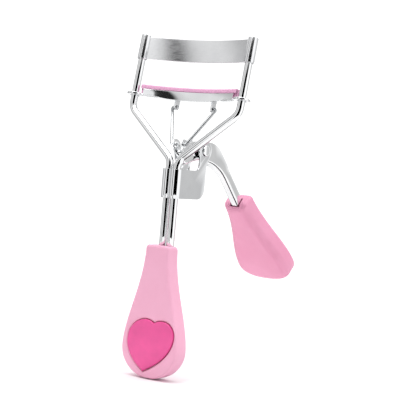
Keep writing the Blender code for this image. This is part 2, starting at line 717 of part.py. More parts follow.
def add_links(material, parent, origin):
    """Two bent wires from the lugs to the lever's ears, hooked inwards at both ends."""
    top = cage_point(0, LUG_BEHIND_CAGE, LUG_LEVEL)
    for name, side in (("left_link", -1), ("right_link", 1)):
        upper = LUG_X + LUG_SHEET / 2 + LINK_LUG_GAP + LINK_RADIUS
        lower = EAR_HALF_WIDTH + LINK_EAR_GAP + LINK_RADIUS
        upper_end = LUG_X - LUG_SHEET / 2 - LINK_HOOK_REACH
        lower_end = EAR_HALF_WIDTH - LEVER_SHEET - LINK_HOOK_REACH
        corners = [
            top + X_AXIS * side * upper_end,
            top + X_AXIS * side * upper,
            LINK_FOOT + X_AXIS * side * lower,
            LINK_FOOT + X_AXIS * side * lower_end,
        ]
        route = rounded_route(corners, (LINK_BEND_RADIUS, LINK_BEND_RADIUS), LINK_BEND_STEPS)
        add_wire(name, route, LINK_RADIUS, LINK_ROUNDNESS, material, origin, parent)


def main():
    for item in list(bpy.data.objects):
        bpy.data.objects.remove(item)
    chrome = (0.80, 0.81, 0.83)
    pink = (0.95, 0.52, 0.67)

    add_frame_wires(make_material("frame_chrome", chrome, 0.12, 1.0))
    add_upper_jaw(make_material("upper_jaw_chrome", chrome, 0.2, 1.0))
    add_bracket(make_material("bracket_chrome", chrome, 0.18, 1.0))
    add_rivet(make_material("rivet_chrome", chrome, 0.15, 1.0))
    heart_material = make_material("heart", (0.87, 0.15, 0.42), 0.35, 0.0)
    add_main_handle(make_material("handle_plastic", pink, 0.45, 0.0), heart_material)

    lever_axis = add_empty("lever_pivot_axis", PIVOT)
    add_lever(make_material("lever_chrome", chrome, 0.15, 1.0), lever_axis)
    add_lever_grip(make_material("grip_plastic", pink, 0.45, 0.0), lever_axis)

    carriage = add_empty("jaw_slide_axis", cage_point(0, 0, LOWER_JAW_LEVEL))
    add_lower_jaw(make_material("lower_jaw_chrome", chrome, 0.15, 1.0), carriage, carriage.location)
    add_pad(make_material("pad_silicone", (0.86, 0.38, 0.60), 0.5, 0.0), carriage, carriage.location)

    link_axis = add_empty("link_swing_axis", cage_point(0, LUG_BEHIND_CAGE, LUG_LEVEL))
    add_links(make_material("link_chrome", chrome, 0.15, 1.0), link_axis, link_axis.location)


main()
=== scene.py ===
"""Eyelash curler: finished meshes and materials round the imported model."""
import json
import math

import bmesh
import bpy
from mathutils import Matrix, Vector


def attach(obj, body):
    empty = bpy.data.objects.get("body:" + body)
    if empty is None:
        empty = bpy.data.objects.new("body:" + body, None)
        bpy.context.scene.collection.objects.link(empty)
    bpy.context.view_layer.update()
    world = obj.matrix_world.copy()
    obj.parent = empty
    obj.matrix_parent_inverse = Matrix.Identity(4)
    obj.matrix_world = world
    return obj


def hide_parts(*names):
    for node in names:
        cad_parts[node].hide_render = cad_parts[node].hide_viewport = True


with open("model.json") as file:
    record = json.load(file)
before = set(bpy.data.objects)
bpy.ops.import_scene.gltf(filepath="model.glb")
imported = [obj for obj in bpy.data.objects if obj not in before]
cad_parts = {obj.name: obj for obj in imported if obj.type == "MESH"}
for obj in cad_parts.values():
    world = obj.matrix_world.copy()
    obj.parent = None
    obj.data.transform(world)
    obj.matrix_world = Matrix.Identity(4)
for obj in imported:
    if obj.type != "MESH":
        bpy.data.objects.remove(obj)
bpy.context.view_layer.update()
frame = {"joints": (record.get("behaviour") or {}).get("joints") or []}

bl_info = {
    "name": "Eyelash Curler",
    "version": (1, 0, 0),
    "blender": (4, 5, 0),
    "location": "View3D > Sidebar > Curler",
    "description": "Builds the finished pieces of an eyelash curler round its packed model",
    "category": "Object",
}

MM = 0.001
X_AXIS = Vector((1, 0, 0))

# Layout that every piece shares
SHAFT_Y = 1.4 * MM
SHAFT_TOP_Z = 63.8 * MM
CAGE_LEAN = math.radians(10.4)
CAGE_ORIGIN = Vector((0, SHAFT_Y, SHAFT_TOP_Z))
CAGE_UP = Vector((0, math.sin(CAGE_LEAN), math.cos(CAGE_LEAN)))
CAGE_BACK = Vector((0, math.cos(CAGE_LEAN), -math.sin(CAGE_LEAN)))
CAGE_START = 2.65 * MM
ELBOW_LEVEL = 18.1 * MM
RAIL_TOP = 41.8 * MM
RAIL_X = 20.0 * MM
JAW_SAG = 3.0 * MM
LOWER_JAW_LEVEL = 22.5 * MM
TROUGH_TOP = LOWER_JAW_LEVEL + 1.9 * MM
TROUGH_HALF_DEPTH = 1.3 * MM
PIVOT = Vector(frame["joints"][0]["pos_m"])
PIVOT_HOLE = 1.35 * MM
HOOK_HOLE = 0.95 * MM
LEVER_SLOPE = math.radians(44.5)
ARM_DOWN = Vector((0, math.cos(LEVER_SLOPE), -math.sin(LEVER_SLOPE)))
ARM_BACK = Vector((0, math.sin(LEVER_SLOPE), math.cos(LEVER_SLOPE)))
WEB_OFFSET = 4.9 * MM
CHANNEL_DEPTH = 3.0 * MM
GRIP_START = 28.6 * MM
LUG_X = 6.85 * MM
LUG_BEHIND_CAGE = 4.9 * MM
LUG_LEVEL = LOWER_JAW_LEVEL - 2.2 * MM
LINK_TOP = CAGE_ORIGIN + CAGE_BACK * LUG_BEHIND_CAGE + CAGE_UP * LUG_LEVEL
HOOK_CENTRE = PIVOT + Vector((0, -9.6 * MM, 1.2 * MM))
LINK_FOOT = HOOK_CENTRE + Vector((0, -0.43 * MM, 0.06 * MM))
HANDLE_THICKNESS = 6.7 * MM
HANDLE_FACE = -HANDLE_THICKNESS / 2

# The camera's bearing and the point that it and the lights turn to
CAMERA_AZIMUTH = math.radians(35.07)
MIDDLE = Vector((0, 9.4 * MM, 49.2 * MM))


# Sizes and colours a user can change

class CurlerWireSettings(bpy.types.PropertyGroup):
    wire_diameter: bpy.props.FloatProperty(
        name="Frame wire", description="Diameter of the two bent frame wires",
        default=2.4 * MM, min=1.0 * MM, max=2.6 * MM, unit="LENGTH", precision=5)
    wire_gap: bpy.props.FloatProperty(
        name="Gap between wires", description="Gap between the wires along the shaft",
        default=0.5 * MM, min=0.1 * MM, unit="LENGTH", precision=5)
    link_diameter: bpy.props.FloatProperty(
        name="Link wire", description="Diameter of the two thin link wires",
        default=1.0 * MM, min=0.5 * MM, max=1.2 * MM, unit="LENGTH", precision=5)
    sides: bpy.props.IntProperty(
        name="Sides", description="Sides round each wire", default=40, min=12, max=96)


class CurlerJawSettings(bpy.types.PropertyGroup):
    plate_height: bpy.props.FloatProperty(
        name="Upper plate height", description="Height of the fixed upper plate",
        default=7.22 * MM, min=4.0 * MM, unit="LENGTH", precision=5)
    plate_sheet: bpy.props.FloatProperty(
        name="Upper plate thickness", description="Thickness of the upper plate",
        default=0.7 * MM, min=0.3 * MM, unit="LENGTH", precision=5)
    sheet: bpy.props.FloatProperty(
        name="Lower jaw sheet", description="Thickness of the lower jaw's sheet",
        default=0.6 * MM, min=0.3 * MM, unit="LENGTH", precision=5)
    apron_drop: bpy.props.FloatProperty(
        name="Apron drop", description="How far the front wall hangs below the lower jaw's flange",
        default=0.85 * MM, min=0.0, unit="LENGTH", precision=5)
    pad_height: bpy.props.FloatProperty(
        name="Pad bead height", description="Height of the soft pad's bead above the trough",
        default=1.3 * MM, min=0.5 * MM, unit="LENGTH", precision=5)
    pad_colour: bpy.props.FloatVectorProperty(
        name="Pad colour", description="Colour of the soft pad", subtype="COLOR", size=3,
        default=(0.88, 0.45, 0.68), min=0, max=1)


class CurlerHandleSettings(bpy.types.PropertyGroup):
    length: bpy.props.FloatProperty(
        name="Main handle length", description="Length of the main handle",
        default=40.3 * MM, min=30.0 * MM, unit="LENGTH", precision=5)
    grip_length: bpy.props.FloatProperty(
        name="Lever grip length", description="Length of the grip on the lever",
        default=35.8 * MM, min=20.0 * MM, unit="LENGTH", precision=5)
    light_pink: bpy.props.FloatVectorProperty(
        name="Grip colour", description="Main colour of both grips", subtype="COLOR", size=3,
        default=(0.90, 0.46, 0.625), min=0, max=1)
    deep_pink: bpy.props.FloatVectorProperty(
        name="Grip mottle", description="Second colour in the grips' mottling", subtype="COLOR", size=3,
        default=(0.87, 0.425, 0.585), min=0, max=1)
    heart_colour: bpy.props.FloatVectorProperty(
        name="Heart colour", description="Colour of the heart inlay", subtype="COLOR", size=3,
        default=(0.88, 0.092, 0.345), min=0, max=1)


class CurlerStageSettings(bpy.types.PropertyGroup):
    floor_colour: bpy.props.FloatVectorProperty(
        name="Floor", description="Colour of the plain floor", subtype="COLOR", size=3,
        default=(0.92, 0.92, 0.92), min=0, max=1)
    daylight: bpy.props.FloatProperty(
        name="Surround", description="Strength of the white surround", default=1.15, min=0, max=5)
    softbox: bpy.props.FloatProperty(
        name="Softbox", description="Power of the main soft light", default=3.0, min=0, unit="POWER")


# Places

def cage_point(across, back, up):
    """A point in the leaning plane of the cage."""
    return CAGE_ORIGIN + X_AXIS * across + CAGE_BACK * back + CAGE_UP * up


def lever_point(across, down, back):
    """A point of the lever: across, down its arm from the pivot, and behind the pivot."""
    return PIVOT + X_AXIS * across + ARM_DOWN * down + ARM_BACK * back


def jaw_curve(across):
    """How far the jaws bow behind the cage plane."""
    radius = (RAIL_X ** 2 + JAW_SAG ** 2) / (2 * JAW_SAG)
    return math.sqrt(radius ** 2 - across ** 2) - (radius - JAW_SAG)


def upright(x, y, z):
    """A point in the frame's own axes."""
    return Vector((x, y, z))


def towards(azimuth, elevation):
    """The unit vector towards a bearing from the front and a height above the floor."""
    along = math.cos(elevation)
    return Vector((math.sin(azimuth) * along, -math.cos(azimuth) * along, math.sin(elevation)))


def spread(low, high, steps):
    """Evenly spaced values from low to high, both ends included."""
    return [low + (high - low) * step / steps for step in range(steps + 1)]


def arc(centre, radius, start, end, steps):
    """Points of a flat arc, angles in degrees."""
    turns = [math.radians(angle) for angle in spread(start, end, steps)]
    return [(centre[0] + radius * math.cos(turn), centre[1] + radius * math.sin(turn)) for turn in turns]


def rounded_box(low, high, radius, steps=3):
    """A flat rectangle's outline with rounded corners."""
    radius = min(radius, (high[0] - low[0]) / 2.01, (high[1] - low[1]) / 2.01)
    points = []
    for corner_x, corner_y, start in (
        (high[0] - radius, high[1] - radius, 0), (low[0] + radius, high[1] - radius, 90),
        (low[0] + radius, low[1] + radius, 180), (high[0] - radius, low[1] + radius, 270),
    ):
        points += arc((corner_x, corner_y), radius, start, start + 90, steps)
    return points


def rounded_route(corners, radii, steps):
    """A path through the corners with each inner corner rounded to its radius."""
    route = [corners[0]]
    for before, corner, after, radius in zip(corners, corners[1:], corners[2:], radii):
        back = (before - corner).normalized()
        onwards = (after - corner).normalized()
        half_angle = back.angle(onwards) / 2
        centre = corner + (back + onwards).normalized() * radius / math.sin(half_angle)
        start = (corner + back * radius / math.tan(half_angle) - centre).normalized()
        end = (corner + onwards * radius / math.tan(half_angle) - centre).normalized()
        route += [centre + start.slerp(end, step) * radius for step in spread(0, 1, steps)]
    return route + [corners[-1]]


def smooth_through(points, steps):
    """Catmull-Rom points through a list of vectors."""
    padded = [points[0] * 2 - points[1]] + list(points) + [points[-1] * 2 - points[-2]]
    result = []
    for a, b, c, d in zip(padded, padded[1:], padded[2:], padded[3:]):
        for step in range(steps):
            t = step / steps
            result.append(0.5 * ((2 * b) + (c - a) * t + (2 * a - 5 * b + 4 * c - d) * t ** 2
                                 + (3 * b - a - 3 * c + d) * t ** 3))
    return result + [points[-1]]


# Meshes

def loft(rings):
    """A closed solid through rings of points, each ring with the same count."""
    shape = bmesh.new()
    loops = [[shape.verts.new(point) for point in ring] for ring in rings]
    for ring, following in zip(loops, loops[1:]):
        for index in range(len(ring)):
            after = (index + 1) % len(ring)
            shape.faces.new((ring[index], ring[after], following[after], following[index]))
    caps = [shape.faces.new(list(reversed(loops[0]))), shape.faces.new(loops[-1])]
    bmesh.ops.triangulate(shape, faces=caps)
    return shape


def prism(outline, to_point, low, high, soft=0.0):
    """A flat outline between two levels, its rims drawn in a little where soft is given."""
    if not soft:
        return loft([[to_point(first, second, level) for first, second in outline] for level in (low, high)])
    side = 1 if high > low else -1
    rings = []
    for level, inset in ((low, soft), (low + side * soft, 0.0), (high - side * soft, 0.0), (high, soft)):
        rings.append([to_point(first, second, level) for first, second in drawn_in(outline, inset)])
    return loft(rings)


def drawn_in(outline, inset):
    """The outline moved inwards by an inset."""
    if not inset:
        return outline
    area = sum(a[0] * b[1] - b[0] * a[1] for a, b in zip(outline, outline[1:] + outline[:1]))
    turn = 1 if area > 0 else -1
    moved = []
    count = len(outline)
    for index, (x, y) in enumerate(outline):
        before = outline[index - 1]
        after = outline[(index + 1) % count]
        along = Vector((after[0] - before[0], after[1] - before[1])).normalized()
        moved.append((x - along.y * inset * turn, y + along.x * inset * turn))
    return moved


def spokes(axis, sides):
    """Unit vectors all round an axis."""
    side = axis.orthogonal().normalized()
    other = axis.cross(side)
    turns = [2 * math.pi * step / sides for step in range(sides)]
    return [side * math.cos(turn) + other * math.sin(turn) for turn in turns]


def turned(centre, axis, stations, sides=64):
    """A turned solid along an axis, from stations of (distance, radius)."""
    around = spokes(axis, sides)
    return loft([
        [centre + axis * distance + spoke * radius for spoke in around] for distance, radius in stations
    ])


def tube_ring(centre, axis, low, high, outer, inner, edge, sides=72):
    """A turned ring with rounded rims and an open bore."""
    outline = rounded_box((inner, low), (outer, high), edge)
    shape = bmesh.new()
    loops = [
        [shape.verts.new(centre + spoke * radius + axis * level) for radius, level in outline]
        for spoke in spokes(axis, sides)
    ]
    for index, loop in enumerate(loops):
        following = loops[(index + 1) % sides]
        for corner in range(len(loop)):
            after = (corner + 1) % len(loop)
            shape.faces.new((loop[corner], loop[after], following[after], following[corner]))
    return shape


def new_object(name, shape, material=None, sharp=35):
    """A named object from a bmesh, its normals outwards and its surface smooth between sharp edges."""
    bmesh.ops.remove_doubles(shape, verts=shape.verts, dist=1e-8)
    bmesh.ops.recalc_face_normals(shape, faces=shape.faces)
    mesh = bpy.data.meshes.new(name)
    shape.to_mesh(mesh)
    shape.free()
    return mesh_object(name, mesh, material, sharp)


def mesh_object(name, mesh, material=None, sharp=35):
    """A named object from a mesh, smooth between its sharp edges."""
    mesh.name = name
    mesh.shade_smooth()
    mesh.set_sharp_from_angle(angle=math.radians(sharp))
    mesh.materials.clear()
    if material:
        mesh.materials.append(material)
    item = bpy.data.objects.new(name, mesh)
    bpy.context.scene.collection.objects.link(item)
    return item


def shaped(name, base, tools, material, sharp=35, bevel=0.0):
    """The base with each (operation, bmesh) tool applied, as one finished mesh."""
    body = new_object(name + "_blank", base)
    helpers = []
    for operation, shape in tools:
        helper = new_object(name + "_tool", shape)
        helpers.append(helper)
        modifier = body.modifiers.new("shape", "BOOLEAN")
        modifier.operation = operation
        modifier.solver = "MANIFOLD"
        modifier.object = helper
    if bevel:
        modifier = body.modifiers.new("soft_edges", "BEVEL")
        modifier.width = bevel
        modifier.segments = 2
        modifier.limit_method = "ANGLE"
        modifier.angle_limit = math.radians(50)
        modifier.use_clamp_overlap = False
    finished = bpy.data.meshes.new_from_object(body.evaluated_get(bpy.context.evaluated_depsgraph_get()))
    for spent in helpers + [body]:
        bpy.data.objects.remove(spent)
    return mesh_object(name, finished, material, sharp)


def place(item, body, slot, *nodes):
    """The item rides on a body and stands for its CAD nodes."""
    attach(item, body)
    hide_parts(*nodes)
    return item


# Node groups for surfaces

def new_group(name, inputs, outputs):
    group = bpy.data.node_groups.new(name, "ShaderNodeTree")
    for label, kind, value in inputs:
        socket = group.interface.new_socket(name=label, in_out="INPUT", socket_type=kind)
        if value is not None:
            socket.default_value = value
    for label, kind in outputs:
        group.interface.new_socket(name=label, in_out="OUTPUT", socket_type=kind)
    return group


def node(tree, kind, **values):
    """A node with its properties set, and its inputs where a name starts with in_."""
    item = tree.nodes.new(kind)
    for name, value in values.items():
        if name.startswith("in_"):
            item.inputs[name[3:].replace("_", " ")].default_value = value
        else:
            setattr(item, name, value)
    return item


def join(tree, *links):
    """Each link is a node and its output, then the node and the input that it feeds."""
    for source, output, target, entry in links:
        tree.links.new(source.outputs[output], target.inputs[entry])


def cloud_group():
    """Soft clouds of two sizes: a mask over the surface, and a height for fine grain."""
    name = "cloud_and_grain"
    if name in bpy.data.node_groups:
        return bpy.data.node_groups[name]
    group = new_group(
        name,
        (("Vector", "NodeSocketVector", None), ("Cloud Scale", "NodeSocketFloat", 120.0),
         ("Grain Scale", "NodeSocketFloat", 3000.0)),
        (("Mask", "NodeSocketFloat"), ("Height", "NodeSocketFloat")),
    )
    entry = node(group, "NodeGroupInput")
    leave = node(group, "NodeGroupOutput")
    cloud = node(group, "ShaderNodeTexNoise", in_Detail=3.0, in_Roughness=0.55)
    grain = node(group, "ShaderNodeTexNoise", in_Detail=2.0, in_Roughness=0.6)
    level = node(group, "ShaderNodeMapRange", in_From_Min=0.32, in_From_Max=0.68)
    join(
        group, (entry, "Vector", cloud, "Vector"), (entry, "Cloud Scale", cloud, "Scale"),
        (entry, "Vector", grain, "Vector"), (entry, "Grain Scale", grain, "Scale"),
        (cloud, "Fac", level, "Value"), (level, "Result", leave, "Mask"), (grain, "Fac", leave, "Height"),
    )
    return group


def polish_group():
    """Fine polishing lines that run along X: a mask and a height."""
    name = "polishing_lines"
    if name in bpy.data.node_groups:
        return bpy.data.node_groups[name]
    group = new_group(
        name,
        (("Vector", "NodeSocketVector", None), ("Stretch", "NodeSocketVector", (60.0, 2500.0, 2500.0))),
        (("Mask", "NodeSocketFloat"), ("Height", "NodeSocketFloat")),
    )
    entry = node(group, "NodeGroupInput")
    leave = node(group, "NodeGroupOutput")
    stretch = node(group, "ShaderNodeVectorMath", operation="MULTIPLY")
    lines = node(group, "ShaderNodeTexNoise", in_Scale=1.0, in_Detail=4.0, in_Roughness=0.6)
    level = node(group, "ShaderNodeMapRange", in_From_Min=0.3, in_From_Max=0.7)
    join(
        group, (entry, "Vector", stretch, 0), (entry, "Stretch", stretch, 1),
        (stretch, "Vector", lines, "Vector"), (lines, "Fac", level, "Value"),
        (level, "Result", leave, "Mask"), (lines, "Fac", leave, "Height"),
    )
    return group


def new_material(name):
    """A material with its node tree and its Principled shader."""
    material = bpy.data.materials.new(name)
    material.use_nodes = True
    tree = material.node_tree
    return material, tree, tree.nodes["Principled BSDF"]


def mixed(tree, mask, first, second):
    """A colour between two colours by a mask."""
    mix = node(tree, "ShaderNodeMix", data_type="RGBA")
    mix.inputs[6].default_value = (*first, 1.0)
    mix.inputs[7].default_value = (*second, 1.0)
    tree.links.new(mask, mix.inputs[0])
    return mix.outputs[2]


def ranged(tree, mask, low, high):
    """A value between two values by a mask."""
    level = node(tree, "ShaderNodeMapRange", in_To_Min=low, in_To_Max=high)
    tree.links.new(mask, level.inputs["Value"])
    return level.outputs["Result"]


def bumped(tree, height, strength, distance):
    bump = node(tree, "ShaderNodeBump", in_Strength=strength, in_Distance=distance)
    tree.links.new(height, bump.inputs["Height"])
    return bump.outputs["Normal"]


def clouds_on(tree, scale):
    """The piece's own coordinates, and clouds and grain laid over them."""
    place_on = node(tree, "ShaderNodeTexCoord")
    cloud = node(tree, "ShaderNodeGroup", node_tree=cloud_group())
    cloud.inputs["Cloud Scale"].default_value = scale
    join(tree, (place_on, "Object", cloud, "Vector"))
    return place_on, cloud


def grey_ramp(band_ramp, ends, steps, reach):
    """Grey levels along a ramp from -reach to reach: its two ends, then the steps between them."""
    ramp = band_ramp.color_ramp
    for element, position, level in zip(ramp.elements, (0.0, 1.0), ends):
        element.position = position
        element.color = (level, level, level, 1)
    for spot, level in steps:
        element = ramp.elements.new((spot + reach) / (2 * reach))
        element.color = (level, level, level, 1)


def chrome_material(name, tones, roughness, stretch, line_depth):
    """Plated metal, with slight clouding and fine polishing lines."""
    if name in bpy.data.materials:
        return bpy.data.materials[name]
    material, tree, shader = new_material(name)
    place_on, cloud = clouds_on(tree, 160.0)
    lines = node(tree, "ShaderNodeGroup", node_tree=polish_group())
    lines.inputs["Stretch"].default_value = stretch
    join(tree, (place_on, "Object", lines, "Vector"))
    tree.links.new(mixed(tree, cloud.outputs["Mask"], *tones), shader.inputs["Base Color"])
    tree.links.new(ranged(tree, lines.outputs["Mask"], *roughness), shader.inputs["Roughness"])
    tree.links.new(bumped(tree, lines.outputs["Height"], line_depth, 0.02 * MM), shader.inputs["Normal"])
    shader.inputs["Metallic"].default_value = 1.0
    return material


def mirror_chrome():
    tones = ((0.90, 0.905, 0.91), (0.84, 0.85, 0.86))
    return chrome_material("mirror_chrome", tones, (0.01, 0.04), (500.0, 500.0, 500.0), 0.015)


def satin_chrome():
    tones = ((0.84, 0.845, 0.855), (0.78, 0.785, 0.80))
    return chrome_material("satin_chrome", tones, (0.17, 0.26), (60.0, 2600.0, 2600.0), 0.10)


def link_chrome():
    tones = ((0.55, 0.56, 0.57), (0.46, 0.47, 0.48))
    return chrome_material("link_chrome", tones, (0.22, 0.34), (500.0, 500.0, 500.0), 0.05)


def pressed_chrome():
    tones = ((0.86, 0.87, 0.88), (0.80, 0.81, 0.825))
    return chrome_material("pressed_chrome", tones, (0.03, 0.08), (400.0, 900.0, 900.0), 0.03)


def plastic_material(name, tones, roughness, cloud_scale, grain_depth, coat):
    """Moulded plastic, with soft mottling and a fine grain."""
    if name in bpy.data.materials:
        return bpy.data.materials[name]
    material, tree, shader = new_material(name)
    cloud = clouds_on(tree, cloud_scale)[1]
    tree.links.new(mixed(tree, cloud.outputs["Mask"], *tones), shader.inputs["Base Color"])
    tree.links.new(ranged(tree, cloud.outputs["Mask"], *roughness), shader.inputs["Roughness"])
    tree.links.new(bumped(tree, cloud.outputs["Height"], grain_depth, 0.05 * MM), shader.inputs["Normal"])
    shader.inputs["Coat Weight"].default_value = coat
    shader.inputs["Coat Roughness"].default_value = 0.25
    return material


def grip_plastic(settings, name, depth):
    """The grips' pink, raised to the power 1 + depth: a depth above zero gives a darker copy of the same
    pink, as painted shade.
    """
    pinks = (settings.light_pink, settings.deep_pink)
    tones = [tuple(channel ** (1 + depth) for channel in pink) for pink in pinks]
    return plastic_material(name, tones, (0.42, 0.52), 90.0, 0.12, 0.0)


def heart_plastic(settings):
    base = tuple(settings.heart_colour)
    return plastic_material(
        "heart_plastic", (base, tuple(channel * 0.86 for channel in base)), (0.30, 0.40), 140.0, 0.06, 0.15)


def pad_silicone(settings):
    base = tuple(settings.pad_colour)
    return plastic_material(
        "pad_silicone", (base, tuple(channel * 0.9 for channel in base)), (0.45, 0.6), 260.0, 0.15, 0.0)


# Swept wires by geometry nodes

def wire_tree():
    """A round wire swept along a curve, with named sizes."""
    name = "swept_wire"
    if name in bpy.data.node_groups:
        return bpy.data.node_groups[name]
    tree = bpy.data.node_groups.new(name, "GeometryNodeTree")
    face = tree.interface
    face.new_socket(name="Geometry", in_out="INPUT", socket_type="NodeSocketGeometry")
    face.new_socket(name="Diameter", in_out="INPUT", socket_type="NodeSocketFloat")
    face.new_socket(name="Sides", in_out="INPUT", socket_type="NodeSocketInt")
    face.new_socket(name="Material", in_out="INPUT", socket_type="NodeSocketMaterial")
    face.new_socket(name="Geometry", in_out="OUTPUT", socket_type="NodeSocketGeometry")
    entry = node(tree, "NodeGroupInput")
    leave = node(tree, "NodeGroupOutput")
    half = node(tree, "ShaderNodeMath", operation="MULTIPLY")
    half.inputs[1].default_value = 0.5
    circle = node(tree, "GeometryNodeCurvePrimitiveCircle")
    thickness = node(tree, "GeometryNodeInputRadius")
    sweep = node(tree, "GeometryNodeCurveToMesh")
    sweep.inputs["Fill Caps"].default_value = True
    smooth = node(tree, "GeometryNodeSetShadeSmooth")
    realize = node(tree, "GeometryNodeRealizeInstances")
    paint = node(tree, "GeometryNodeSetMaterial")
    join(
        tree, (thickness, "Radius", sweep, "Scale"), (entry, "Diameter", half, 0),
        (half, 0, circle, "Radius"), (entry, "Sides", circle, "Resolution"),
        (entry, "Geometry", sweep, "Curve"), (circle, "Curve", sweep, "Profile Curve"),
        (sweep, "Mesh", smooth, "Geometry"), (smooth, "Geometry", realize, "Geometry"),
        (realize, "Geometry", paint, "Geometry"), (entry, "Material", paint, "Material"),
        (paint, "Geometry", leave, "Geometry"),
    )
    return tree


def swept_wire(name, route, diameter, sides, material):
    """One wire along a route, with its two ends slightly domed."""
    dome = ((0.0, 0.72), (0.06, 0.9), (0.16, 1.0))
    start = (route[1] - route[0]).normalized()
    finish = (route[-2] - route[-1]).normalized()
    stations = [(route[0] + start * diameter * depth, share) for depth, share in dome]
    stations += [(point, 1.0) for point in route[1:-1]]
    stations += [(route[-1] + finish * diameter * depth, share) for depth, share in reversed(dome)]
    curve = bpy.data.curves.new(name + "_path", "CURVE")
    curve.dimensions = "3D"
    spline = curve.splines.new("POLY")
    spline.points.add(len(stations) - 1)
    for point, (spot, share) in zip(spline.points, stations):
        point.co = (*spot, 1)
        point.radius = share
    path = bpy.data.objects.new(name + "_path", curve)
    bpy.context.scene.collection.objects.link(path)
    modifier = path.modifiers.new("sweep", "NODES")
    tree = wire_tree()
    modifier.node_group = tree
    named = {item.name: item.identifier for item in tree.interface.items_tree if item.in_out == "INPUT"}
    modifier[named["Diameter"]] = diameter
    modifier[named["Sides"]] = sides
    modifier[named["Material"]] = material
    path.update_tag()
    mesh = bpy.data.meshes.new_from_object(path.evaluated_get(bpy.context.evaluated_depsgraph_get()))
    bpy.data.objects.remove(path)
    return mesh_object(name, mesh, material, 50)


# Pieces

class CURLER_OT_frame_wires(bpy.types.Operator):
    """Make the two bent wires of the shaft and the cage"""
    bl_idname = "curler.frame_wires"
    bl_label = "Frame wires"

    def execute(self, context):
        settings = context.scene.curler_wires
        foot = 13.2 * MM
        bends = (3.0 * MM, 4.5 * MM, 4.5 * MM)
        for name, side in (("left_frame_wire", -1), ("right_frame_wire", 1)):
            across = side * (settings.wire_diameter + settings.wire_gap) / 2
            corners = [
                Vector((across, SHAFT_Y, foot)),
                Vector((across, SHAFT_Y, SHAFT_TOP_Z)),
                cage_point(across, 0, CAGE_START),
                cage_point(side * RAIL_X, 0, ELBOW_LEVEL),
                cage_point(side * RAIL_X, 0, RAIL_TOP),
            ]
            route = rounded_route(corners, bends, 20)
            wire = swept_wire(
                name + "_finish", route, settings.wire_diameter, settings.sides, mirror_chrome())
            place(wire, "frame", "wire", name)
        return {"FINISHED"}


class CURLER_OT_upper_jaw(bpy.types.Operator):
    """Make the fixed upper plate with its rolled sleeves"""
    bl_idname = "curler.upper_jaw"
    bl_label = "Upper jaw"

    def execute(self, context):
        settings = context.scene.curler_jaws
        top = 41.4 * MM
        bottom = top - settings.plate_height
        half = settings.plate_sheet / 2
        sleeve_outer = 1.6 * MM
        sleeve_inner = 1.3 * MM
        outline = rounded_box((-half, bottom), (half, top), 0.16 * MM, 4)
        reach = RAIL_X - (sleeve_outer + sleeve_inner) / 2
        plate = loft([
            [cage_point(across, jaw_curve(across) + depth, level) for depth, level in outline]
            for across in spread(-reach, reach, 72)
        ])
        overhang = 0.3 * MM
        tools = []
        for side in (-1, 1):
            foot = cage_point(side * RAIL_X, 0, 0)
            tools.append(("UNION", tube_ring(
                foot, CAGE_UP, bottom - overhang, top + overhang, sleeve_outer, sleeve_inner, 0.12 * MM)))
        jaw = shaped("upper_jaw_finish", plate, tools, satin_chrome())
        place(jaw, "frame", "pressed_sheet", "upper_jaw")
        return {"FINISHED"}


class CURLER_OT_bracket(bpy.types.Operator):
    """Make the folded bracket round the shaft and its two ears"""
    bl_idname = "curler.bracket"
    bl_label = "Bracket"

    def execute(self, context):
        wires = context.scene.curler_wires
        sheet = 0.55 * MM
        bore = wires.wire_diameter / 2 + 0.2 * MM
        half_width = (wires.wire_diameter + wires.wire_gap) / 2 + bore + sheet
        groove_depth = 0.45 * MM
        back = PIVOT.y + 4.2 * MM
        outline = []
        for inset, turn in ((0, 1), (sheet, -1)):
            width = half_width - inset
            radius = bore + sheet - inset
            crown = width - radius
            side = [(width, back)] + arc((crown, SHAFT_Y), radius, 0, -90, 16)
            groove = []
            for across in spread(crown, -crown, 36)[1:-1]:
                bulge = math.sqrt(max(radius ** 2 - (crown - abs(across)) ** 2, 0.0))
                groove.append((across, SHAFT_Y - max(bulge, radius - groove_depth)))
            path = side + groove + [(-across, depth) for across, depth in reversed(side)]
            outline += path[::turn]
        low = 54.8 * MM
        top = 63.7 * MM
        body = prism(outline, upright, low - MM, PIVOT.z + 4.2 * MM)
        front = SHAFT_Y - half_width
        rear = SHAFT_Y + 12.9 * MM
        neck = SHAFT_Y + 9.2 * MM
        corner = 3.6 * MM
        fillet = 1.8 * MM
        outline = (
            [(front, low)]
            + arc((rear - corner, low + corner), corner, -90, 0, 16)
            + [(rear, top + MM)]
            + arc((PIVOT.y, PIVOT.z), 3.2 * MM, -50, 215, 40)
            + arc((neck - fillet, top + fillet), fillet, 0, -90, 12)
            + [(front, top)]
        )
        reach = half_width + MM
        view = prism(outline, lambda depth, level, across: Vector((across, depth, level)), -reach, reach)
        hole = turned(PIVOT, X_AXIS, ((-reach, PIVOT_HOLE), (reach, PIVOT_HOLE)))
        tools = [("INTERSECT", view), ("DIFFERENCE", hole)]
        bracket = shaped("bracket_finish", body, tools, pressed_chrome(), 30, 0.07 * MM)
        place(bracket, "frame", "pressed_sheet", "bracket")
        return {"FINISHED"}


class CURLER_OT_rivet(bpy.types.Operator):
    """Make the pivot rivet with its domed heads"""
    bl_idname = "curler.rivet"
    bl_label = "Pivot rivet"

    def execute(self, context):
        seat = 3.55 * MM
        shank = 1.2 * MM
        head = 1.75 * MM
        height = 0.7 * MM
        edge = 0.08 * MM
        rim = 0.12 * MM
        dome = [(seat, shank), (seat, head - edge), (seat + edge, head)]
        for angle in spread(20, 84, 9):
            turn = math.radians(angle)
            dome.append((seat + rim + (height - rim) * math.sin(turn), head * math.cos(turn) ** 0.8))
        stations = [(-distance, radius) for distance, radius in reversed(dome)] + dome
        rivet = new_object("pivot_rivet_finish", turned(PIVOT, X_AXIS, stations), mirror_chrome())
        place(rivet, "frame", "rivet", "pivot_rivet")
        return {"FINISHED"}


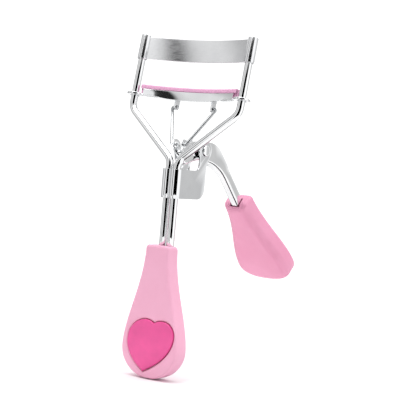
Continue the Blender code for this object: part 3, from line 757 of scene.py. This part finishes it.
def paddle_outline(inset, length, widest, slimmest, bulb, flat_depth, end_power):
    """A paddle-shaped outline drawn in by an inset: a round lower end and a slim top."""
    top = length - inset
    wide = widest - inset
    slim = slimmest - inset
    right = []
    for turn in spread(math.pi / 2, 0.0, 60)[1:]:
        level = bulb - (bulb + flat_depth - inset) * math.sin(turn) ** end_power
        right.append((wide * math.cos(turn) ** end_power, max(level, 0.0)))
    corner = 1.0 * MM
    for level in spread(bulb, top - corner, 44)[1:]:
        share = ((level - bulb) / (top - bulb)) ** 0.88
        right.append((slim + (widest - slimmest) * (1 + math.cos(math.pi * share)) / 2, level))
    right += arc((right[-1][0] - corner, top - corner), corner, 0, 90, 8)[1:]
    return right + [(-x, z) for x, z in reversed(right)]


def paddle(length, widest, slimmest, bulb, flat_depth, end_power, thickness, to_point):
    """A paddle with a crisp outer edge at -Y and a soft inner edge at +Y."""
    outer = 0.8 * MM
    soft = 2.6 * MM
    layers = []
    for turn in spread(90, 0, 8):
        lift = math.radians(turn)
        layers.append((outer * (1 - math.cos(lift)), -thickness / 2 + outer * (1 - math.sin(lift))))
    for turn in spread(0, 90, 12):
        lift = math.radians(turn)
        layers.append((soft * (1 - math.cos(lift)), thickness / 2 - soft * (1 - math.sin(lift))))
    return loft([
        [
            to_point(x, depth, z)
            for x, z in paddle_outline(inset, length, widest, slimmest, bulb, flat_depth, end_power)
        ]
        for inset, depth in layers
    ])


def heart_outline(growth):
    """The heart in X and Z, grown outwards by an amount."""
    half_width = 8.3 * MM
    lobe_radius = 5.3 * MM
    lobe_x = half_width - lobe_radius
    lobe_z = 17.7 * MM - lobe_radius
    tip_z = 2.0 * MM - growth * math.sqrt(2)
    lobe = lobe_radius + growth
    cleft = math.degrees(math.acos(-lobe_x / lobe))
    right = arc((lobe_x, lobe_z), lobe, cleft, 0, 36)
    start = Vector((lobe_x + lobe, lobe_z))
    end = Vector((0, tip_z))
    first = Vector((start.x, lobe_z - lobe_radius))
    last = Vector((half_width * 0.4 + growth, tip_z + half_width * 0.22))
    for share in spread(0, 1, 30)[1:]:
        rest = 1 - share
        spot = start * rest ** 3 + first * 3 * rest ** 2 * share
        spot += last * 3 * rest * share ** 2 + end * share ** 3
        right.append((spot.x, spot.y))
    slant = 0.18
    level = 9.8 * MM
    return [(x + slant * (z - level), z) for x, z in right + [(-x, z) for x, z in reversed(right[1:-1])]]


class CURLER_OT_main_handle(bpy.types.Operator):
    """Make the moulded main handle with its wire socket and heart recess"""
    bl_idname = "curler.main_handle"
    bl_label = "Main handle"

    def execute(self, context):
        settings = context.scene.curler_handles
        wires = context.scene.curler_wires
        body = paddle(
            length=settings.length, widest=10.4 * MM, slimmest=4.3 * MM, bulb=8.8 * MM, flat_depth=0.25 * MM,
            end_power=1.0, thickness=HANDLE_THICKNESS, to_point=upright)
        radius = wires.wire_diameter / 2 + 0.25 * MM
        spacing = (wires.wire_diameter + wires.wire_gap) / 2
        socket = arc((spacing, SHAFT_Y), radius, -90, 90, 20) + arc((-spacing, SHAFT_Y), radius, 90, 270, 20)
        socket_foot = 12.95 * MM
        pocket = prism(socket, upright, socket_foot, settings.length + MM)
        flare = ((0.25, 0.8), (0.25, 0.32), (0.31, 0.14), (0.45, 0.03), (0.62, 0.0), (0.9, -0.1))
        recess = loft([
            [Vector((x, HANDLE_FACE + depth * MM, z)) for x, z in heart_outline(growth * MM)]
            for growth, depth in flare
        ])
        handle = shaped(
            "handle_grip_finish", body, [("DIFFERENCE", pocket), ("DIFFERENCE", recess)],
            grip_plastic(settings, "handle_pink_plastic", 0.0), 40)
        place(handle, "frame", "moulded_grip", "handle_grip")
        return {"FINISHED"}


class CURLER_OT_heart(bpy.types.Operator):
    """Make the raised heart inlay"""
    bl_idname = "curler.heart"
    bl_label = "Heart inlay"

    def execute(self, context):
        centre = Vector((0.1 * MM, HANDLE_FACE, 10.4 * MM))
        root = 0.55 * MM
        wall = 0.15 * MM
        shoulder = 0.27 * MM
        crown = 0.18 * MM
        draw_in = 0.35 * MM
        layers = [(0.0, 1.0, root), (0.0, 1.0, -wall)]
        for angle in spread(15, 90, 6):
            turn = math.radians(angle)
            layers.append((-draw_in * (1 - math.cos(turn)), 1.0, -wall - shoulder * math.sin(turn)))
        for share in (0.9, 0.75, 0.55, 0.35, 0.15, 0.03):
            layers.append((-draw_in, share, -wall - shoulder - crown * (1 - share ** 2)))
        rings = []
        for growth, share, depth in layers:
            rings.append([
                centre + Vector(((x - centre.x) * share, depth, (z - centre.z) * share))
                for x, z in heart_outline(growth)
            ])
        heart = new_object("heart_inlay_finish", loft(rings), heart_plastic(context.scene.curler_handles), 45)
        place(heart, "frame", "inlay", "heart_inlay")
        return {"FINISHED"}


def lever_profile():
    """Web and edge places along the lever with its half width, smooth from the hook eyes to the grip."""
    ear = 1.85 * MM
    seat = 2.45 * MM
    arm = 1.65 * MM
    stations = []
    for centre, web, edge, width in (
        (HOOK_CENTRE, (-0.7, -2.6), (-1.8, 0.6), ear), (HOOK_CENTRE, (-0.3, -3.7), (-1.1, 1.5), ear),
        (HOOK_CENTRE, (0.0, -4.9), (0.0, 1.8), ear), (HOOK_CENTRE, (0.9, -5.7), (1.2, 1.5), ear),
        (HOOK_CENTRE, (2.5, -5.9), (2.6, 0.7), ear), (PIVOT, (-4.4, -3.9), (-4.7, 1.4), ear),
        (PIVOT, (-1.4, -3.2), (-1.9, 2.2), (ear + seat) / 2), (PIVOT, (2.5, -3.4), (1.6, 2.8), seat),
        (PIVOT, (6.1, -4.0), (5.6, 2.6), seat), (PIVOT, (9.3, -5.0), (9.4, 1.2), (2 * seat + arm) / 3),
    ):
        stations.append((centre + Vector((0, *web)) * MM, centre + Vector((0, *edge)) * MM, width))
    straight_from = 19.0
    for down in (13.0, 16.0, straight_from, 31.0, 43.6):
        bend = max(straight_from - down, 0.0)
        web = lever_point(0, down * MM, WEB_OFFSET - 0.0245 * bend ** 2 * MM)
        edge = lever_point(0, down * MM, WEB_OFFSET + CHANNEL_DEPTH)
        stations.append((web, edge, arm + (seat - arm) * (bend / 9.0) ** 2))
    return stations


class CURLER_OT_lever(bpy.types.Operator):
    """Make the curved channel lever with its hook eyes and pivot hole"""
    bl_idname = "curler.lever"
    bl_label = "Lever"

    def execute(self, context):
        stations = lever_profile()
        webs = smooth_through([web for web, edge, width in stations], 4)
        edges = smooth_through([edge for web, edge, width in stations], 4)
        spans = smooth_through([Vector((width, 0)) for web, edge, width in stations], 4)
        sheet = 0.6 * MM
        radius = 1.0 * MM
        nip = 0.08 * MM
        shoulder = 0.28 * MM
        rings = []
        for index, (web, edge, span) in enumerate(zip(webs, edges, spans)):
            width = span.x
            along = webs[min(index + 3, len(webs) - 1)] - webs[max(index - 3, 0)]
            inwards = Vector((0, -along.z, along.y)).normalized()
            rise = (edge - web).normalized()
            outer = [
                (edge, width - shoulder), (edge - rise * nip, width - nip), (edge - rise * shoulder, width)]
            inner = [
                (edge, width - sheet + shoulder), (edge - rise * nip, width - sheet + nip),
                (edge - rise * shoulder, width - sheet)]
            side = [point + X_AXIS * across for point, across in outer]
            side += [web + X_AXIS * across + inwards * depth
                     for across, depth in arc((width - radius, radius), radius, 0, -90, 8)]
            lining = [web + X_AXIS * across + inwards * (sheet + depth)
                      for across, depth in arc((width - radius, radius - sheet), radius - sheet, -90, 0, 6)]
            lining += [point + X_AXIS * across for point, across in reversed(inner)]
            mirror = [Vector((-point.x, point.y, point.z)) for point in reversed(side)]
            mirror_lining = [Vector((-point.x, point.y, point.z)) for point in reversed(lining)]
            rings.append(side + mirror + mirror_lining + lining)
        tools = []
        for centre, size in ((PIVOT, PIVOT_HOLE), (HOOK_CENTRE, HOOK_HOLE)):
            tools.append(("DIFFERENCE", turned(centre, X_AXIS, ((-4 * MM, size), (4 * MM, size)), 48)))
        lever = shaped("lever_finish", loft(rings), tools, mirror_chrome(), 40)
        place(lever, "lever", "pressed_sheet", "lever")
        return {"FINISHED"}


class CURLER_OT_lever_grip(bpy.types.Operator):
    """Make the moulded grip on the lever"""
    bl_idname = "curler.lever_grip"
    bl_label = "Lever grip"

    def execute(self, context):
        settings = context.scene.curler_handles
        thickness = 6.4 * MM
        wall = 0.9 * MM
        clearance = 0.25 * MM
        middle = WEB_OFFSET - clearance - wall + thickness / 2

        def to_point(x, y, z):
            return lever_point(-x, GRIP_START + settings.grip_length - z, middle - y)

        body = paddle(
            length=settings.grip_length, widest=10.0 * MM, slimmest=4.4 * MM, bulb=6.6 * MM, flat_depth=0.0,
            end_power=0.8, thickness=thickness, to_point=to_point)
        socket_depth = 15.25 * MM
        section = rounded_box(
            (-1.9 * MM, WEB_OFFSET - clearance), (1.9 * MM, WEB_OFFSET + CHANNEL_DEPTH + clearance),
            0.3 * MM, 4)
        pocket = prism(
            section, lambda across, back, down: lever_point(across, down, back),
            GRIP_START - MM, GRIP_START + socket_depth)
        # Painted shade: the lever grip gets a darker copy of the handle's pink (depth 0.28).
        grip = shaped(
            "lever_grip_finish", body, [("DIFFERENCE", pocket)],
            grip_plastic(settings, "lever_pink_plastic", 0.28), 40)
        place(grip, "lever", "moulded_grip", "lever_grip")
        return {"FINISHED"}


class CURLER_OT_lower_jaw(bpy.types.Operator):
    """Make the sliding lower jaw: flange, trough, apron, rings and lugs"""
    bl_idname = "curler.lower_jaw"
    bl_label = "Lower jaw"

    def execute(self, context):
        settings = context.scene.curler_jaws
        sheet = settings.sheet
        half = sheet / 2
        lip = half - TROUGH_HALF_DEPTH
        flange_depth = 3.4 * MM
        trough_reach = RAIL_X - 3.2 * MM
        apron_reach = RAIL_X - 7.0 * MM
        rings = []
        for across in spread(-RAIL_X + 0.02 * MM, RAIL_X - 0.02 * MM, 80):
            middle = jaw_curve(across)
            back = middle + lip + (flange_depth - lip) * (1 - (across / RAIL_X) ** 4)
            front = middle + lip
            back = max(back, front + 0.4 * MM)
            outline = rounded_box(
                (front, LOWER_JAW_LEVEL - half), (back, LOWER_JAW_LEVEL + half), 0.18 * MM, 3)
            rings.append([cage_point(across, depth, level) for depth, level in outline])
        flange = loft(rings)
        tools = []
        for inner, outer, drop in (
            (-TROUGH_HALF_DEPTH, sheet - TROUGH_HALF_DEPTH, settings.apron_drop),
            (TROUGH_HALF_DEPTH - sheet, TROUGH_HALF_DEPTH, 0.0),
        ):
            rings = []
            for across in spread(-trough_reach, trough_reach, 72):
                hang = min(abs(across) / apron_reach, 1.0)
                low = LOWER_JAW_LEVEL - drop * (1 - hang ** 4)
                outline = rounded_box((inner, low), (outer, TROUGH_TOP), 0.15 * MM, 3)
                middle = jaw_curve(across)
                rings.append([cage_point(across, middle + depth, level) for depth, level in outline])
            tools.append(("UNION", loft(rings)))
        ring_outer = 2.65 * MM
        ring_inner = 1.4 * MM
        ring_half = 0.35 * MM
        seat = 1.95 * MM
        lug = 1.05 * MM
        lug_hole = 0.65 * MM
        for side in (-1, 1):
            foot = cage_point(side * RAIL_X, 0, LOWER_JAW_LEVEL)
            tools.append(("DIFFERENCE", turned(foot, CAGE_UP, ((-MM, seat), (MM, seat)))))
        for side in (-1, 1):
            foot = cage_point(side * RAIL_X, 0, LOWER_JAW_LEVEL)
            tools.append(("UNION", tube_ring(
                foot, CAGE_UP, -ring_half, ring_half, ring_outer, ring_inner, 0.18 * MM)))
            outline = (
                arc((LUG_BEHIND_CAGE, LUG_LEVEL), lug, 180, 360, 24)
                + [(LUG_BEHIND_CAGE + lug, LOWER_JAW_LEVEL), (LUG_BEHIND_CAGE - lug, LOWER_JAW_LEVEL)]
            )
            low = side * LUG_X - half
            tools.append(("UNION", prism(
                outline, lambda back, up, across: cage_point(across, back, up), low, low + sheet)))
            centre = cage_point(side * LUG_X, LUG_BEHIND_CAGE, LUG_LEVEL)
            tools.append(("DIFFERENCE", turned(centre, X_AXIS, ((-MM, lug_hole), (MM, lug_hole)), 32)))
        jaw = shaped("lower_jaw_finish", flange, tools, pressed_chrome())
        place(jaw, "lower_jaw", "pressed_sheet", "lower_jaw")
        return {"FINISHED"}


class CURLER_OT_pad(bpy.types.Operator):
    """Make the soft silicone pad"""
    bl_idname = "curler.pad"
    bl_label = "Silicone pad"

    def execute(self, context):
        settings = context.scene.curler_jaws
        root = 0.55 * MM
        floor = LOWER_JAW_LEVEL + 0.45 * MM
        seat = TROUGH_TOP + 0.1 * MM
        top = seat + settings.pad_height
        half = 1.25 * MM
        crown = 0.5 * MM
        heel = 0.22 * MM
        side = [(root, floor), (root, seat)]
        side += arc((half - heel, seat + heel), heel, -90, 0, 4)
        side += arc((half - crown, top - crown), crown, 0, 90, 8)
        section = side + [(-depth, level) for depth, level in reversed(side)]
        reach = RAIL_X - 2.2 * MM
        tip = 0.06 * MM
        dome = 0.2 * MM
        middle = (seat + top) / 2
        rings = []
        for across in [-reach, tip - reach] + spread(dome - reach, reach - dome, 72) + [reach - tip, reach]:
            close = min((reach - abs(across)) / dome, 1.0)
            size = 0.88 + 0.12 * math.sqrt(max(1 - (1 - close) ** 2, 0.0))
            rings.append([
                cage_point(across, jaw_curve(across) + depth * size, middle + (level - middle) * size)
                for depth, level in section
            ])
        pad = new_object("silicone_pad_finish", loft(rings), pad_silicone(settings))
        place(pad, "lower_jaw", "silicone", "silicone_pad")
        return {"FINISHED"}


class CURLER_OT_links(bpy.types.Operator):
    """Make the two thin links between the lower jaw and the lever"""
    bl_idname = "curler.links"
    bl_label = "Links"

    def execute(self, context):
        settings = context.scene.curler_wires
        radius = settings.link_diameter / 2
        for name, side in (("left_link", -1), ("right_link", 1)):
            corners = [
                LINK_TOP + X_AXIS * side * (LUG_X - 0.8 * MM),
                LINK_TOP + X_AXIS * side * (LUG_X + 0.95 * MM + radius),
                LINK_FOOT + X_AXIS * side * (2.15 * MM + radius),
                LINK_FOOT + X_AXIS * side * 0.75 * MM,
            ]
            route = rounded_route(corners, (0.6 * MM, 0.6 * MM), 10)
            link = swept_wire(name + "_finish", route, settings.link_diameter, 24, link_chrome())
            place(link, "links", "wire", name)
        return {"FINISHED"}


class CURLER_OT_stage(bpy.types.Operator):
    """Make the floor, the soft lights, the white surround and the camera"""
    bl_idname = "curler.stage"
    bl_label = "Stage"

    def execute(self, context):
        settings = context.scene.curler_stage
        add_floor(settings)
        add_lights(settings)
        add_surround(settings)
        add_camera()
        context.scene.view_settings.view_transform = "Standard"
        return {"FINISHED"}


def add_floor(settings):
    """A round of pale paper that, to the metal's reflections only, shows painted reflections of soft grey and
    dark cards in its place.
    """
    shape = bmesh.new()
    bmesh.ops.create_circle(shape, cap_ends=True, segments=96, radius=170 * MM)
    drop = 0.4 * MM
    for vert in shape.verts:
        vert.co.z = -drop
    mesh = bpy.data.meshes.new("floor")
    shape.to_mesh(mesh)
    shape.free()
    material, tree, shader = new_material("floor_paper")
    place_on, cloud = clouds_on(tree, 3.0)
    colour = tuple(settings.floor_colour)
    paper = mixed(tree, cloud.outputs["Mask"], colour, tuple(channel * 0.985 for channel in colour))
    # Painted reflection: glossy rays see grey bands along X in place of the paper.
    parts = node(tree, "ShaderNodeSeparateXYZ")
    painted_band_reach = 160
    span = node(tree, "ShaderNodeMapRange", in_From_Min=-painted_band_reach * MM, in_From_Max=painted_band_reach * MM)
    band_ramp = node(tree, "ShaderNodeValToRGB")
    ray = node(tree, "ShaderNodeLightPath")
    seen = node(tree, "ShaderNodeMix", data_type="RGBA")
    join(
        tree, (place_on, "Object", parts, "Vector"), (parts, "X", span, "Value"),
        (span, "Result", band_ramp, "Fac"), (ray, "Is Glossy Ray", seen, 0),
    )
    tree.links.new(paper, seen.inputs[6])
    join(tree, (band_ramp, "Color", seen, 7), (seen, 2, shader, "Base Color"))
    # Painted reflection bands along X, near black from -4 to 22 mm, seen only by glossy rays.
    steps = ((-100, 0.05), (-85, 0.7), (-30, 0.8), (-12, 0.9), (-4, 0.02), (22, 0.02), (32, 0.8))
    grey_ramp(band_ramp, (0.05, 0.8), steps, painted_band_reach)
    shader.inputs["Roughness"].default_value = 0.9
    mesh.materials.append(material)
    floor = bpy.data.objects.new("floor", mesh)
    bpy.context.scene.collection.objects.link(floor)


def add_lights(settings):
    """Two square softboxes, each turned to the middle of the piece."""
    for name, azimuth, elevation, distance, size, share in (
        ("key_softbox", -5, 62, 0.9, 0.5, 1.0),
        ("top_softbox", 120, 75, 0.9, 0.7, 0.8),
    ):
        lamp = bpy.data.lights.new(name, "AREA")
        lamp.shape = "SQUARE"
        lamp.size = size
        lamp.energy = settings.softbox * share
        away = towards(math.radians(azimuth), math.radians(elevation))
        light = bpy.data.objects.new(name, lamp)
        light.location = MIDDLE + away * distance
        light.rotation_euler = away.to_track_quat("Z", "Y").to_euler()
        bpy.context.scene.collection.objects.link(light)


def add_surround(settings):
    """White all round, with upright dark gaps between the soft walls, as a studio has."""
    world = bpy.data.worlds.new("studio")
    bpy.context.scene.world = world
    world.use_nodes = True
    tree = world.node_tree
    back = tree.nodes["Background"]
    spot = node(tree, "ShaderNodeTexCoord")
    turn = node(tree, "ShaderNodeVectorRotate", rotation_type="Z_AXIS", in_Angle=-CAMERA_AZIMUTH)
    parts = node(tree, "ShaderNodeSeparateXYZ")
    bearing = node(tree, "ShaderNodeMath", operation="ARCTAN2")
    flip = node(tree, "ShaderNodeMath", operation="MULTIPLY")
    flip.inputs[1].default_value = -1.0
    share = node(tree, "ShaderNodeMapRange", in_From_Min=-math.pi, in_From_Max=math.pi)
    walls = node(tree, "ShaderNodeValToRGB")
    join(
        tree, (spot, "Generated", turn, "Vector"), (turn, "Vector", parts, "Vector"),
        (parts, "X", bearing, 0), (parts, "Y", flip, 0), (flip, 0, bearing, 1),
        (bearing, 0, share, "Value"), (share, "Result", walls, "Fac"),
    )
    steps = (
        (-160, 1.0), (-142, 1.0), (-128, 0.5), (-106, 0.4), (-98, 0.5), (-88, 0.75), (-72, 0.75), (-65, 0.6),
        (-62, 0.02), (-54, 0.02), (-51, 0.8), (-44, 0.9), (-34, 1.0), (-30, 0.0), (30, 0.0), (36, 1.1),
        (84, 1.0), (100, 0.56), (122, 0.54), (138, 1.0), (150, 0.3), (157, 0.3), (163, 1.0),
    )
    grey_ramp(walls, (1, 1), steps, 180)
    height = node(tree, "ShaderNodeMapRange", in_From_Min=0.55, in_From_Max=0.8)
    tree.links.new(parts.outputs["Z"], height.inputs["Value"])
    lid = node(tree, "ShaderNodeMix", data_type="RGBA")
    lid.inputs[7].default_value = (1, 1, 1, 1)
    join(tree, (height, "Result", lid, 0), (walls, "Color", lid, 6))
    ray = node(tree, "ShaderNodeLightPath")
    seen = node(tree, "ShaderNodeMix", data_type="RGBA")
    seen.inputs[7].default_value = (1.1, 1.1, 1.1, 1)
    join(tree, (ray, "Is Camera Ray", seen, 0), (lid, 2, seen, 6), (seen, 2, back, "Color"))
    back.inputs["Strength"].default_value = settings.daylight


def add_camera():
    """The camera stands to the front right, a little above the middle, aims a little aside and is rolled."""
    distance = 402.3 * MM
    roll = math.radians(4.96)
    aim_right = 0.018462
    aim_up = 0.006654
    away = towards(CAMERA_AZIMUTH, math.radians(2.62))
    ahead = -away
    level = ahead.cross(Vector((0, 0, 1))).normalized()
    plumb = level.cross(ahead)
    right = level * math.cos(roll) + plumb * math.sin(roll)
    up = plumb * math.cos(roll) - level * math.sin(roll)
    forward = (ahead + right * aim_right + up * aim_up).normalized()
    right = (right - forward * right.dot(forward)).normalized()
    up = right.cross(forward)
    lens = bpy.data.cameras.new("camera")
    lens.lens = 112.5
    lens.sensor_width = 36.0
    lens.clip_start = 0.01
    camera = bpy.data.objects.new("camera", lens)
    turn = Matrix((right, up, -forward)).transposed().to_4x4()
    camera.matrix_world = Matrix.Translation(MIDDLE + away * distance) @ turn
    bpy.context.scene.collection.objects.link(camera)
    bpy.context.scene.camera = camera


PIECES = (
    CURLER_OT_frame_wires, CURLER_OT_upper_jaw, CURLER_OT_bracket, CURLER_OT_rivet,
    CURLER_OT_main_handle, CURLER_OT_heart, CURLER_OT_lever, CURLER_OT_lever_grip,
    CURLER_OT_lower_jaw, CURLER_OT_pad, CURLER_OT_links, CURLER_OT_stage,
)


class CURLER_PT_panel(bpy.types.Panel):
    """Lists the pieces and their settings"""
    bl_idname = "CURLER_PT_panel"
    bl_label = "Eyelash Curler"
    bl_space_type = "VIEW_3D"
    bl_region_type = "UI"
    bl_category = "Curler"

    def draw(self, context):
        for piece in PIECES:
            self.layout.operator(piece.bl_idname)
        for group in SETTINGS:
            settings = getattr(context.scene, group)
            for name in settings.bl_rna.properties.keys():
                if name not in ("rna_type", "name"):
                    self.layout.prop(settings, name)


SETTINGS = {
    "curler_wires": CurlerWireSettings,
    "curler_jaws": CurlerJawSettings,
    "curler_handles": CurlerHandleSettings,
    "curler_stage": CurlerStageSettings,
}


def register():
    for group, kind in SETTINGS.items():
        bpy.utils.register_class(kind)
        setattr(bpy.types.Scene, group, bpy.props.PointerProperty(type=kind))
    for kind in PIECES + (CURLER_PT_panel,):
        bpy.utils.register_class(kind)


def unregister():
    for kind in (CURLER_PT_panel,) + PIECES[::-1]:
        bpy.utils.unregister_class(kind)
    for group, kind in reversed(SETTINGS.items()):
        delattr(bpy.types.Scene, group)
        bpy.utils.unregister_class(kind)


def main():
    register()
    for piece in PIECES:
        family, name = piece.bl_idname.split(".")
        getattr(getattr(bpy.ops, family), name)()


if __name__ == "__main__":
    main()
